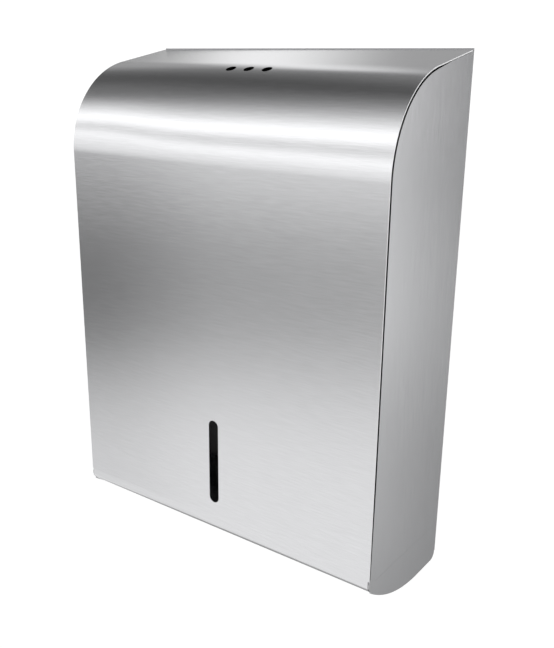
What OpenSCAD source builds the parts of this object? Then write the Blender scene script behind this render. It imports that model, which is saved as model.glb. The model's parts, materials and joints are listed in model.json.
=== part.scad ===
// Wall-hung dispenser for interfolded paper towels, in satin stainless sheet.
// X is to the right, Y runs into the wall and Z is up.
// The origin is the centre of the four wall screws, on the rear face of the back plate.

/* [Body] */
// Overall width
body_w = 270; // [230:1:330]
// Height of the case
body_h = 375; // [330:1:440]
// Depth from the wall to the front face
body_d = 104; // [98:1:125]
// Thickness of the sheet
sheet = 0.8; // [0.7:0.1:1]
// Fall of the top towards the front, in degrees
top_slope = 11.5; // [8:0.5:14]
// Outer radius of the bend between top and front
top_r = 67; // [60:1:72]

/* [Front cover] */
// How far the cover swings open, in degrees
cover_open = 70; // [55:1:75]
// Outer radius of the rolled bottom edge
roll_r = 8; // [7.5:0.5:10]
// Height of the roll's centre, which is the hinge line, above the lowest edge of the case
roll_rise = 30.8; // [28:0.2:36]
// Gap between the cover and the side panels at the top bend
seam_top = 1.2; // [0.6:0.1:2]
// Gap between the cover's front and the side panels
seam_front = 1.9; // [1:0.1:2.2]
// Height above the hinge line up to which that gap narrows
seam_taper = 72; // [50:1:90]
// Distance from the wall to where that gap starts to open
seam_knee = 32; // [20:1:40]
// Gap between the cover and the side panels at the hinge
seam_low = 0.7; // [0.5:0.1:0.9]
// Gap between the cover's rear edge and the back plate
seam_rear = 1.5; // [1:0.1:3]
// Width of the view slot
slot_w = 8.7; // [5:0.1:12]
// Length of the view slot
slot_l = 66.8; // [40:0.2:90]
// Height of the slot's lower end above the hinge line
slot_rise = 17.4; // [15:0.2:40]
// Diameter of a key hole
key_d = 7.4; // [5:0.1:8.5]
// Distance between key holes
key_pitch = 15.5; // [12:0.5:18]
// Place of the key holes round the top bend, in degrees from straight up
key_tilt = 22.5; // [20:0.5:26]
// Depth of the stiffening angles inside the cover
rib_d = 9; // [6:0.5:12]
// Width of the leg that holds a stiffening angle to the cover
rib_foot = 10; // [8:0.5:14]

/* [Side panels] */
// Width of the flange behind the cover
flange_w = 10; // [8:0.5:14]
// Width of the flange on the back plate
rear_flange_w = 12; // [10:0.5:16]
// Straight length at the rear of the lower edge
heel = 30; // [24:1:34]
// Radius of the curve that runs from there up to the front
low_r = 118; // [110:1:126]
// Radius of the lower rear corner
rear_r = 6; // [4:0.5:9]
// Gap between the cover's roll and each side panel
roll_gap = 0.5; // [0.4:0.1:1.2]
// Height of the notch in the flange above the hinge line
notch_h = 36; // [34:1:44]

/* [Back plate] */
// How far the back plate stands above the cover's top
plate_rise = 0.6; // [0:0.1:2]
// Distance between the wall screws across
screw_w = 200; // [160:1:210]
// Distance between the wall screws in height
screw_h = 230; // [180:1:240]
// Diameter of a wall screw hole
screw_d = 6.5; // [4.5:0.1:8]

/* [Dispensing tray] */
// Height of the tray above the lower edges of the side panels
tray_rise = 3; // [2.8:0.1:5]
// Height of the tray's flanges
tray_flange = 12; // [9:0.5:16]
// Gap between the tray and the cover's roll
tray_gap = 1.5; // [1:0.1:2.5]
// Length of the towel mouth
mouth_l = 170; // [120:1:200]
// Width of the towel mouth
mouth_w = 26; // [20:1:30]
// Distance from the wall to the middle of the mouth
mouth_y = 60.5; // [56:0.5:62]
// Depth of the turned-down edge round the mouth
mouth_lip = 2.4; // [1.5:0.1:2.6]

/* [Hinge] */
// Radius of a hinge stud
stud_r = 2.5; // [2:0.1:2.8]
// Radial running clearance of studs and pins
run_gap = 0.05; // [0.03:0.01:0.08]
// Thickness of a hinge ear
ear_t = 1.5; // [1.2:0.1:2]
// Height of a hinge ear above the hinge line
ear_h = 30; // [24:1:31]
// Width of the leg that holds an ear to the cover
ear_foot = 14; // [10:0.5:18]
// Wall of a nylon bush
bush_wall = 1.2; // [1:0.1:1.5]
// Thickness of a retaining clip
clip_t = 0.6; // [0.5:0.1:0.8]

/* [Latch] */
// Thickness of the latch metal
latch_t = 1.5; // [1.2:0.1:1.8]
// Width of the latch lever
lever_w = 45; // [42:1:54]
// How far the lever is pressed to free the cover, in degrees
lever_press = 8; // [7:0.5:9]
// Distance from the wall to the latch pin
pin_y = 13; // [12:0.5:15]
// Radius of the latch pin
pin_r = 2; // [1.6:0.1:2.4]
// Distance from the wall to the keeper's front face
keeper_y = 42; // [40:0.5:44]
// Width of the keeper
keeper_w = 24; // [16:1:30]
// Drop of the keeper below the cover
keeper_drop = 9; // [8.5:0.5:11]
// Overlap of hook and keeper
hook_bite = 3; // [2:0.1:3.2]
// Length of the lever's pad under the key holes
pad_l = 13; // [10:0.5:15]
// Depth of the rail that carries the latch
rail_d = 46; // [44:1:50]
// Height of the rail's leg on the back plate
rail_h = 27; // [26:0.5:30]
// Mean radius of the latch spring
spring_r = 4; // [3.6:0.1:5]
// Radius of the spring wire
wire_r = 0.45; // [0.35:0.05:0.55]
// Turns of the latch spring
spring_turns = 6; // [4:1:6]

/* [Hidden] */
$fn = 96;

// Round joints stand proud by a hair and run a little past their ends, so that edges cross cleanly
hair = 0.002;

// Half of the width, and the faces that most pieces start from
half_w = body_w / 2;
inner_x = half_w - sheet;
front_y = -body_d;
top_z = body_h / 2;
low_z = -body_h / 2;
cover_drop = sheet / cos(top_slope);

// Centres of the top bend and of the roll, as [y, z]
bend_y = front_y + top_r;
bend_start_y = bend_y - top_r * sin(top_slope);
bend_c = [bend_y, top_z + bend_start_y * tan(top_slope) - top_r * cos(top_slope)];
hinge_c = [front_y + roll_r, low_z + roll_rise];
roll_sweep = 180 - cover_open;
cover_rear_y = -sheet - seam_rear;

// Side panel outline: a bend inside the cover's, whose gap widens from the top to the front, then a straight
// front and a line from there to the round corner at the hinge
seam_shift = (seam_front - seam_top) / (1 - sin(top_slope));
panel_bend_c = bend_c + [seam_shift, 0];
panel_bend_r = top_r - sheet - seam_front + seam_shift;
panel_low_r = roll_r - sheet - seam_low;
seam_rest = 0.2;
seam_drop = seam_rest / cos(top_slope);
panel_rear_z = under_cover(-sheet) - seam_drop;
panel_slope_a = tangent_from_point([-seam_knee, under_cover(-seam_knee) - seam_drop], panel_bend_c, panel_bend_r);
panel_taper_p = [front_y + sheet + seam_front, hinge_c[1] + seam_taper];
panel_front_a = tangent_from_point(panel_taper_p, hinge_c, panel_low_r);
panel_front_low = hinge_c + panel_low_r * dir(panel_front_a);
panel_floor_z = panel_front_low[1] - bend_lap(panel_low_r) / 3;

// Long curve of the lower edge, level at the heel. In front of it the corner is round about the hinge,
// as far as the lower edge of the open cover reaches.
low_curve_c = [-heel, low_z + low_r];
swing_spare = 5;
swing_a = 180 + cover_open + swing_spare;

// Mean radius of a sharp bend in the sheet and in the latch metal
sheet_bend = sheet;
latch_bend = latch_t;

// Tray
tray_r = low_r - tray_rise;
tray_front_y = hinge_c[0] + roll_r + tray_gap;
tray_front_z = low_curve_c[1] - sqrt(pow(tray_r, 2) - pow(tray_front_y + heel, 2));
stop_gap = 0.3;
stop_z = hinge_c[1] + stop_gap;
stop_reach = 2.5;
stop_inset = 20;
stop_half = half_w - stop_inset;

// Hinge, from the side panel inwards
stud_base_t = sheet;
stud_base_r = stud_r + 2.3;
slide_gap = 0.1;
bush_flange_t = 1;
bush_face_x = inner_x - stud_base_t - slide_gap;
ear_x = bush_face_x - bush_flange_t;
bush_r = stud_r + run_gap + bush_wall;
clip_x = ear_x - ear_t - slide_gap;
stud_groove_r = stud_r - 0.5;
stud_end_x = clip_x - clip_t - 1;
ear_r = roll_r - sheet - 0.15;

// Latch
lever_half = lever_w / 2;
keeper_front = -keeper_y;
keeper_low_z = under_cover(keeper_front) - keeper_drop;
web_gap = 2.5;
web_z = keeper_low_z - web_gap;
hook_h = web_gap + hook_bite;
hook_gap = 0.4;
hook_w = keeper_w - 6;
hook_ramp = 6;
pad_run = 17;
pad_bend_y = bend_y - pad_run;
ear_wall = 3;
ear_round = pin_r + ear_wall;
ear_clear = 1.3;
pin_c = [-pin_y, web_z - latch_t - ear_round - ear_clear];
arm_x = lever_half - latch_t;
arm_gap = 0.4;
bracket_half = arm_x - arm_gap;
bracket_set = 2;
bracket_front = -keeper_y + bracket_set;
bracket_clear = 4;
bracket_rear = -2 * sheet - bracket_clear;
base_clear = 4;
base_z = pin_c[1] - ear_round - base_clear;
shelf_z = base_z - latch_t;
spring_set = 3;
spring_y = (keeper_front - pin_y) / 2 - spring_set;
spring_low = base_z;
spring_high = web_z - latch_t;
boss_h = 3;
boss_gap = 0.5;
press_tab_w = 16;
press_z = pin_c[1] + (spring_high - pin_c[1]) * cos(lever_press)
    + (bracket_front - pin_c[0]) * sin(lever_press) - stop_gap;
rivet_set = 8;
rivet_x = bracket_half - rivet_set;
rivet_y = spring_y + rivet_set;
rivet_r = 1.6;
rivet_head_r = 3;
rivet_head_t = 1;
pin_head_r = pin_r + 1.5;
pin_head_t = 1.2;
pin_half = lever_half + slide_gap;
hold_gap = 0.02;
pin_groove_r = pin_r - 0.4;
lever_rear = -2 * sheet - 0.3;

// Finishes
steel = [0.72, 0.73, 0.74];
plated = [0.62, 0.63, 0.65];
nylon = [0.93, 0.93, 0.9];
spring_steel = [0.45, 0.46, 0.48];
black_coat = [0.06, 0.06, 0.065];

// Unit vector at an angle, as [y, z]
function dir(a) = [cos(a), sin(a)];

// Angle of the radius at which a line from point p touches a circle, on the front side of p
function tangent_from_point(p, c, r) =
    atan2(p[1] - c[1], p[0] - c[0]) + acos(r / norm(p - c));

// Length and angle by which a straight sheet and its bend of mean radius r run into each other
function bend_lap(r) = sqrt(2 * hair * r);
function bend_past(r) = sqrt(2 * hair / r) * 180 / PI;

// Signed angle between two directions
function turn_between(u, v) = atan2(cross(u, v), u * v);

// Height of the cover's underside on the slope
function under_cover(y) = top_z + y * tan(top_slope) - cover_drop;

// Extrudes a [y, z] profile from x0 to x1
module along_x(x0, x1) {
    translate([x0, 0, 0]) rotate([90, 0, 90]) linear_extrude(x1 - x0) children();
}

// The same piece on the right as it is, and on the left as its mirror image
module on_side(side) {
    if (side > 0) children();
    else mirror([1, 0, 0]) children();
}

// Round bar or disc along X between x0 and x1, about a centre [y, z]
module bar_x(c, r, x0, x1) {
    translate([x0, c[0], c[1]]) rotate([0, 90, 0]) cylinder(r = r, h = x1 - x0);
}

// Part of a circle outside its chord between two angles
module cap(c, r, a0, a1) {
    reach = 2 * r * dir((a0 + a1) / 2);
    p0 = c + r * dir(a0);
    p1 = c + r * dir(a1);
    intersection() {
        translate(c) circle(r = r);
        polygon([p0, p0 + reach, p1 + reach, p1]);
    }
}

// Sector of a disc that rounds the corner between two lines, from angle a0 to a1
module corner_disc(c, r, a0, a1) {
    spare = 3;
    start = a0 - spare;
    sweep = a1 - a0 + 2 * spare;
    intersection() {
        translate(c) circle(r = r + hair);
        polygon([c, for (i = [0 : 4]) c + 2 * r * dir(start + sweep * i / 4)]);
    }
}

// Sector of a ring about a centre, from angle a0 to a1
module ring_sector(c, r_out, r_in, a0, a1) {
    far = 2 * r_out;
    intersection() {
        translate(c) difference() {
            circle(r = r_out);
            circle(r = r_in);
        }
        polygon([c, for (i = [0 : 4]) c + far * dir(a0 + (a1 - a0) * i / 4)]);
    }
}

// Sheet of thickness t that follows a middle line, with mean radius r at its bends
module bent_sheet(line, t, r) {
    last = len(line) - 1;
    ways = [for (i = [0 : last - 1]) (line[i + 1] - line[i]) / norm(line[i + 1] - line[i])];
    turns = [0, for (i = [1 : last - 1]) turn_between(ways[i - 1], ways[i]), 0];
    cuts = [for (turn = turns) r * tan(abs(turn) / 2)];
    lap = bend_lap(r);
    for (i = [0 : last - 1]) {
        a = line[i] + (cuts[i] - (i > 0 ? lap : 0)) * ways[i];
        b = line[i + 1] - (cuts[i + 1] - (i < last - 1 ? lap : 0)) * ways[i];
        side = t / 2 * [-ways[i][1], ways[i][0]];
        polygon([a + side, a - side, b - side, b + side]);
    }
    for (i = [1 : last - 1]) {
        inward = sign(turns[i]) * [-ways[i - 1][1], ways[i - 1][0]];
        start = atan2(-inward[1], -inward[0]);
        centre = line[i] - cuts[i] * ways[i - 1] + r * inward;
        past = sign(turns[i]) * bend_past(r);
        ring_sector(centre, r + t / 2 + hair, r - t / 2 + hair, start - past, start + turns[i] + past);
    }
}

// Extrudes an [x, z] profile from y0 to y1
module along_y(y0, y1) {
    translate([0, y1, 0]) rotate([90, 0, 0]) linear_extrude(y1 - y0) children();
}

// Area under the slope, the top bend and the front line, down to a floor height.
// slope_a and front_a are the angles at which the two lines leave the bend.
module hood(c, r, slope_a, front_a, rear_y, floor_z) {
    n1 = dir(slope_a);
    n2 = dir(front_a);
    rear_z = c[1] + (r - n1[0] * (rear_y - c[0])) / n1[1];
    floor_y = c[0] + (r - n2[1] * (floor_z - c[1])) / n2[0];
    polygon([[rear_y, rear_z], c + r * n1, c + r * n2, [floor_y, floor_z], [rear_y, floor_z]]);
    corner_disc(c, r, slope_a, front_a);
}

// Section of the cover above the hinge line
module cover_section() {
    difference() {
        hood(bend_c, top_r, 90 + top_slope, 180, cover_rear_y, hinge_c[1]);
        hood(bend_c, top_r - sheet, 90 + top_slope, 180, 0, hinge_c[1] - 1);
    }
}

// Slot with round ends, cut along Y through the cover's front
module view_slot() {
    low = hinge_c[1] + slot_rise;
    deep = 4 * sheet;
    translate([-slot_w / 2, front_y - sheet, low + slot_w / 2]) cube([slot_w, deep, slot_l - slot_w]);
    for (z = [low + slot_w / 2, low + slot_l - slot_w / 2])
        translate([0, front_y - sheet, z]) rotate([-90, 0, 0]) cylinder(d = slot_w, h = deep);
}

// Holes for the three prongs of the key, square to the bend
module key_holes() {
    for (i = [-1 : 1])
        translate([i * key_pitch, bend_c[0], bend_c[1]]) rotate([key_tilt, 0, 0])
            translate([0, 0, top_r - 3 * sheet]) cylinder(d = key_d, h = 5 * sheet);
}

module front_cover() {
    color(steel) difference() {
        union() {
            along_x(-half_w, half_w) cover_section();
            along_x(-inner_x + roll_gap, inner_x - roll_gap)
                ring_sector(hinge_c, roll_r, roll_r - sheet, 180, 180 + roll_sweep);
        }
        view_slot();
        key_holes();
    }
}

// Area below the cover's slope, lower by a drop
module below_slope(drop) {
    far = -2 * body_d;
    polygon([[far, under_cover(far) - drop], [1, under_cover(1) - drop], [1, 2 * low_z], [far, 2 * low_z]]);
}

// Area behind the line from the straight front to the round corner at the hinge
module front_taper(inset, floor_z) {
    n = dir(panel_front_a);
    high = panel_taper_p[1] + seam_taper / 2;
    ends = [for (z = [high, floor_z])
        [hinge_c[0] + (panel_low_r - inset - n[1] * (z - hinge_c[1])) / n[0], z]];
    polygon([ends[0], ends[1], [hinge_c[0] + roll_r, floor_z], [hinge_c[0] + roll_r, high]]);
}

// Upper area of a side panel, inset by one sheet for the inside of its flange
module panel_hood(inset, rear_y, floor_z) {
    front_taper(inset, floor_z);
    intersection() {
        hood(panel_bend_c, panel_bend_r - inset, panel_slope_a, 180, rear_y, floor_z);
        below_slope(seam_drop + inset / cos(top_slope));
    }
}

// Outline of a side panel
module panel_section() {
    corner_c = [-sheet - rear_r, low_z + rear_r];
    level = hinge_c[1];
    panel_hood(0, -sheet, panel_floor_z);
    corner_disc(hinge_c, panel_low_r, panel_front_a, swing_a);
    intersection() {
        translate(low_curve_c) circle(r = low_r + hair);
        polygon([hinge_c, hinge_c + 3 * roll_r * dir(swing_a), [1 - heel, 2 * low_z], [1 - heel, level]]);
    }
    polygon([[-heel, low_z], [corner_c[0], low_z], [-sheet, corner_c[1]], [-sheet, level], [-heel, level]]);
    cap(corner_c, rear_r, 270, 360);
}

// Flange along the slope, the bend and the front of a side panel
module panel_flange_section() {
    difference() {
        intersection() {
            panel_hood(0, -sheet, panel_floor_z);
            translate([-2 * body_d, hinge_c[1] + notch_h]) square([2 * body_d, body_h]);
        }
        panel_hood(sheet, 0, panel_floor_z);
    }
}

module side_panel() {
    along_x(inner_x, half_w) panel_section();
    along_x(half_w - flange_w, inner_x) panel_flange_section();
    translate([half_w - rear_flange_w, -2 * sheet, low_z + rear_r])
        cube([rear_flange_w - sheet, sheet, panel_rear_z - sheet - low_z - rear_r]);
}

module left_side_panel() {
    color(steel) on_side(-1) side_panel();
}

module right_side_panel() {
    color(steel) on_side(1) side_panel();
}

module back_plate() {
    color(steel) difference() {
        translate([-half_w, -sheet, low_z + rear_r]) cube([body_w, sheet, body_h - rear_r + plate_rise]);
        for (x = [-1, 1], z = [-1, 1])
            translate([x * screw_w / 2, -2 * sheet, z * screw_h / 2]) rotate([-90, 0, 0])
                cylinder(d = screw_d, h = 3 * sheet);
    }
}

// Band that runs with the curve of the tray, from r_in to r_out about the curve's centre
module tray_band(r_out, r_in, rear_y) {
    intersection() {
        translate(low_curve_c) difference() {
            circle(r = r_out);
            circle(r = r_in);
        }
        translate([tray_front_y, low_z]) square([-heel - tray_front_y, roll_rise + tray_flange]);
    }
    translate([-heel, low_curve_c[1] - r_out]) square([heel + rear_y, r_out - r_in]);
}

// Area of the towel mouth, as [x, y]
module mouth_area(grow) {
    end = (mouth_l - mouth_w) / 2;
    square([2 * end, mouth_w + 2 * grow], center = true);
    for (x = [-end, end])
        translate([x, 0]) circle(d = mouth_w + 2 * grow);
}

module mouth_prism(grow) {
    translate([0, -mouth_y, low_z - 1]) linear_extrude(roll_rise + tray_flange) mouth_area(grow);
}

// Front wall of the tray, bent forward into the lip that stops the open cover
module tray_front_section() {
    wall_y = tray_front_y + sheet / 2;
    lip_z = stop_z + sheet / 2;
    bent_sheet([
        [wall_y, tray_front_z + sheet / 2], [wall_y, lip_z], [tray_front_y - stop_reach, lip_z]
    ], sheet, sheet_bend);
}

module dispensing_tray() {
    color(steel) difference() {
        union() {
            along_x(-inner_x + sheet, inner_x - sheet) tray_band(tray_r, tray_r - sheet, -sheet);
            for (side = [-1, 1])
                on_side(side) along_x(inner_x - sheet, inner_x)
                    tray_band(tray_r, tray_r - tray_flange, -2 * sheet);
            along_x(-half_w + rear_flange_w + 1, half_w - rear_flange_w - 1)
                translate([-2 * sheet, low_z + tray_rise]) square([sheet, tray_flange + rear_r]);
            along_x(-stop_half, stop_half) tray_front_section();
            intersection() {
                along_x(-mouth_l, mouth_l) tray_band(tray_r + mouth_lip, tray_r - sheet / 2, -sheet);
                mouth_prism(sheet);
            }
        }
        mouth_prism(0);
    }
}

// Channel across the case: a leg on the back plate, a shelf and a lip, with a tab on each side panel
module top_rail() {
    tab_w = 30;
    tab_h = 13;
    tab_set = 4;
    lip_h = 8;
    rail_half = half_w - rear_flange_w - 1;
    mid_z = shelf_z - sheet / 2;
    leg_y = -1.5 * sheet;
    lip_y = -rail_d + sheet / 2;
    tab_x = inner_x - sheet / 2;
    color(steel) {
        along_x(-rail_half, rail_half) bent_sheet([
            [leg_y, shelf_z + rail_h], [leg_y, mid_z], [lip_y, mid_z], [lip_y, shelf_z - lip_h]
        ], sheet, sheet_bend);
        for (side = [-1, 1])
            on_side(side) along_y(-rail_d + tab_set, -rail_d + tab_set + tab_w) bent_sheet([
                [rail_half - sheet, mid_z], [tab_x, mid_z], [tab_x, mid_z + tab_h]
            ], sheet, sheet_bend);
    }
}

// Stud welded to the inside of a side panel, with a groove for its clip
module hinge_stud() {
    difference() {
        union() {
            bar_x(hinge_c, stud_base_r, inner_x - stud_base_t, inner_x);
            bar_x(hinge_c, stud_r, stud_end_x, inner_x - stud_base_t);
        }
        difference() {
            bar_x(hinge_c, stud_r + 1, clip_x - clip_t, clip_x);
            bar_x(hinge_c, stud_groove_r, clip_x - clip_t - 1, clip_x + 1);
        }
    }
}

module left_hinge_stud() {
    color(plated) on_side(-1) hinge_stud();
}

module right_hinge_stud() {
    color(plated) on_side(1) hinge_stud();
}

// Clip that snaps into a groove: a flat ring with an open side
module groove_clip(c, x0, x1, r_groove, r_shaft) {
    difference() {
        bar_x(c, r_shaft + 1.8, x0, x1);
        bar_x(c, r_groove, x0 - 1, x1 + 1);
        translate([x0 - 1, c[0] - r_groove * 0.8, c[1] - 2 * r_shaft - 4])
            cube([x1 - x0 + 2, r_groove * 1.6, 2 * r_shaft + 4]);
    }
}

module left_stud_clip() {
    color(spring_steel) on_side(-1) groove_clip(hinge_c, clip_x - clip_t, clip_x, stud_groove_r, stud_r);
}

module right_stud_clip() {
    color(spring_steel) on_side(1) groove_clip(hinge_c, clip_x - clip_t, clip_x, stud_groove_r, stud_r);
}

// Ear inside the cover: a round eye in the roll, an arm and a leg bent on to the cover's inner face
module hinge_ear() {
    face_y = front_y + sheet;
    arm_d = roll_r + 2;
    foot_z = ear_r + 2;
    mid_x = ear_x - ear_t / 2;
    mid_y = face_y + ear_t / 2;
    difference() {
        union() {
            bar_x(hinge_c, ear_r, ear_x - ear_t, ear_x);
            along_x(ear_x - ear_t, ear_x) translate([face_y, hinge_c[1]]) square([arm_d, foot_z]);
            translate([0, 0, hinge_c[1] + foot_z]) linear_extrude(ear_h - foot_z)
                bent_sheet([
                    [ear_x - ear_foot, mid_y], [mid_x, mid_y], [mid_x, face_y + arm_d]
                ], ear_t, ear_t);
        }
        bar_x(hinge_c, bush_r, ear_x - ear_t - 1, ear_x + 1);
    }
}

module left_hinge_ear() {
    color(steel) on_side(-1) hinge_ear();
}

module right_hinge_ear() {
    color(steel) on_side(1) hinge_ear();
}

// Flanged bush pressed into an ear
module hinge_bush() {
    difference() {
        union() {
            bar_x(hinge_c, bush_r, ear_x - ear_t, ear_x);
            bar_x(hinge_c, bush_r + 1.6, ear_x, bush_face_x);
        }
        bar_x(hinge_c, stud_r + run_gap, ear_x - ear_t - 1, bush_face_x + 1);
    }
}

module left_hinge_bush() {
    color(nylon) on_side(-1) hinge_bush();
}

module right_hinge_bush() {
    color(nylon) on_side(1) hinge_bush();
}

// Angle welded up the inside of the cover, clear of the side panel's flange
module cover_stiffener() {
    face_y = front_y + sheet;
    outer_x = half_w - flange_w - 4;
    foot_z = hinge_c[1] + notch_h + 4;
    rib_h = bend_c[1] - foot_z - 6;
    mid_x = outer_x - sheet / 2;
    mid_y = face_y + sheet / 2;
    translate([0, 0, foot_z]) linear_extrude(rib_h)
        bent_sheet([[outer_x - rib_foot, mid_y], [mid_x, mid_y], [mid_x, face_y + rib_d]], sheet, sheet_bend);
}

module left_cover_stiffener() {
    color(steel) on_side(-1) cover_stiffener();
}

module right_cover_stiffener() {
    color(steel) on_side(1) cover_stiffener();
}

// Angle welded under the slope, whose hanging leg the hook holds
module latch_keeper() {
    foot_l = 14;
    half_drop = latch_t / 2 / cos(top_slope);
    foot_y = keeper_front + foot_l;
    leg_y = keeper_front + latch_t / 2;
    color(plated) along_x(-keeper_w / 2, keeper_w / 2) bent_sheet([
        [foot_y, under_cover(foot_y) - half_drop], [leg_y, under_cover(leg_y) - half_drop],
        [leg_y, keeper_low_z]
    ], latch_t, latch_bend);
}

// Base on the rail, bent up into two ears for the pin and a stop for the lever.
// A boss on it stands inside the spring.
module latch_bracket() {
    mid_x = bracket_half - latch_t / 2;
    mid_z = shelf_z + latch_t / 2;
    flat_half = mid_x - 2 * latch_bend;
    stop_y = bracket_front + latch_t / 2;
    flat_y = stop_y + 2 * latch_bend;
    ear_top = pin_c[1] + ear_round;
    color(plated) difference() {
        union() {
            translate([-flat_half, flat_y, shelf_z]) cube([2 * flat_half, bracket_rear - flat_y, latch_t]);
            intersection() {
                along_y(bracket_front, bracket_rear) bent_sheet([
                    [-mid_x, ear_top], [-mid_x, mid_z], [mid_x, mid_z], [mid_x, ear_top]
                ], latch_t, latch_bend);
                along_x(-bracket_half, bracket_half) {
                    translate(pin_c) circle(r = ear_round);
                    translate([pin_c[0] - ear_round, shelf_z]) square([2 * ear_round, pin_c[1] - shelf_z]);
                }
            }
            along_x(-press_tab_w / 2, press_tab_w / 2)
                bent_sheet([
                    [flat_y + latch_t, mid_z], [stop_y, mid_z], [stop_y, press_z]
                ], latch_t, latch_bend);
            translate([0, spring_y, base_z]) cylinder(r = spring_r - wire_r - boss_gap, h = boss_h);
        }
        bar_x(pin_c, pin_r + hold_gap, -lever_half, lever_half);
        for (x = [-rivet_x, rivet_x])
            translate([x, rivet_y, shelf_z - 1]) cylinder(r = rivet_r, h = latch_t + 2);
    }
}

// Two rivets that hold the bracket on the rail
module latch_rivets() {
    color(plated) for (x = [-rivet_x, rivet_x])
        translate([x, rivet_y, 0]) {
            translate([0, 0, shelf_z]) cylinder(r = rivet_r, h = latch_t);
            translate([0, 0, base_z]) cylinder(r = rivet_head_r, h = rivet_head_t);
        }
}

module latch_pin() {
    color(plated) difference() {
        union() {
            bar_x(pin_c, pin_r, -pin_half, pin_half + clip_t + 1);
            bar_x(pin_c, pin_head_r, -pin_half - pin_head_t, -pin_half);
        }
        difference() {
            bar_x(pin_c, pin_r + 1, pin_half, pin_half + clip_t);
            bar_x(pin_c, pin_groove_r, pin_half - 1, pin_half + clip_t + 1);
        }
    }
}

module latch_pin_clip() {
    color(spring_steel) groove_clip(pin_c, pin_half, pin_half + clip_t, pin_groove_r, pin_r);
}

// Section of the lever's web and of the pad under the key holes
module lever_section() {
    mid_z = web_z - latch_t / 2;
    pad_end = [pad_bend_y, mid_z] - pad_l * [cos(key_tilt), sin(key_tilt)];
    bent_sheet([[lever_rear, mid_z], [pad_bend_y, mid_z], pad_end], latch_t, 2 * latch_bend);
}

// Section of the hook: upright behind, sloped in front
module hook_section() {
    hook_y = keeper_front - hook_gap;
    polygon([
        [hook_y, web_z - latch_t / 2], [hook_y, web_z + hook_h], [hook_y - 1.2, web_z + hook_h],
        [hook_y - hook_ramp, web_z - latch_t / 2]
    ]);
}

// Section of the lever's side arms, from the pin to the pad
module arm_section() {
    arm_front = keeper_front - hook_ramp;
    translate(pin_c) circle(r = ear_round);
    polygon([
        [pin_c[0] + ear_round - 1, pin_c[1]], [pin_c[0] + ear_round - 1, web_z - latch_t / 2],
        [arm_front, web_z - latch_t / 2], [arm_front, web_z - latch_t - 3], [pin_c[0], pin_c[1] - ear_round]
    ]);
}

module latch_lever() {
    color(black_coat) difference() {
        union() {
            along_x(-lever_half, lever_half) lever_section();
            along_x(-hook_w / 2, hook_w / 2) hook_section();
            for (side = [-1, 1])
                on_side(side) along_x(arm_x, lever_half) arm_section();
        }
        bar_x(pin_c, pin_r + run_gap, -lever_w, lever_w);
    }
}

// Centre line of the spring wire: a straight start, the turns and a straight end
rings = 8;
wire_low = spring_low + wire_r + 0.05;
wire_high = spring_high - wire_r - 0.05;
wire_steps = spring_turns * rings;
function coil_point(i) =
    let (a = 360 * i / rings)
    [spring_r * cos(a), spring_r * sin(a), wire_low + (wire_high - wire_low) * i / wire_steps];
function coil_run(i, way) =
    let (a = 360 * i / rings)
    coil_point(i) + way * 2 * wire_r * [-sin(a), cos(a), 0];
wire_path = [
    coil_run(0, -1), for (i = [0 : wire_steps]) coil_point(i), coil_run(wire_steps, 1)
];
wire_angles = [0, for (i = [0 : wire_steps]) 360 * i / rings, 360 * wire_steps / rings];

// Least gap of the spring to itself, measured between points at least half a turn apart
spring_gap = min([
    for (i = [0 : wire_steps], j = [0 : wire_steps])
        if (j - i > rings / 2) norm(coil_point(i) - coil_point(j))
]) - 2 * wire_r;
echo(spring_gap = spring_gap);

module latch_spring() {
    sides = 6;
    count = len(wire_path);
    points = [
        for (i = [0 : count - 1], k = [0 : sides - 1])
            let (a = wire_angles[i], b = 360 * k / sides)
            wire_path[i] + wire_r * (cos(b) * [cos(a), sin(a), 0] + sin(b) * [0, 0, 1])
    ];
    walls = [
        for (i = [0 : count - 2], k = [0 : sides - 1])
            let (a = i * sides + k, b = i * sides + (k + 1) % sides)
            each [[a, b, b + sides], [a, b + sides, a + sides]]
    ];
    ends = [
        for (k = [1 : sides - 2])
            each [[0, k + 1, k], [(count - 1) * sides, (count - 1) * sides + k, (count - 1) * sides + k + 1]]
    ];
    color(spring_steel) translate([0, spring_y, 0]) polyhedron(points, concat(walls, ends));
}

back_plate();
left_side_panel();
right_side_panel();
dispensing_tray();
top_rail();
left_hinge_stud();
right_hinge_stud();
left_stud_clip();
right_stud_clip();
front_cover();
left_hinge_ear();
right_hinge_ear();
left_hinge_bush();
right_hinge_bush();
left_cover_stiffener();
right_cover_stiffener();
latch_keeper();
latch_bracket();
latch_rivets();
latch_pin();
latch_pin_clip();
latch_spring();
latch_lever();
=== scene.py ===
import json
import math

import bmesh
import bpy
from mathutils import Matrix, Vector


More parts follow.
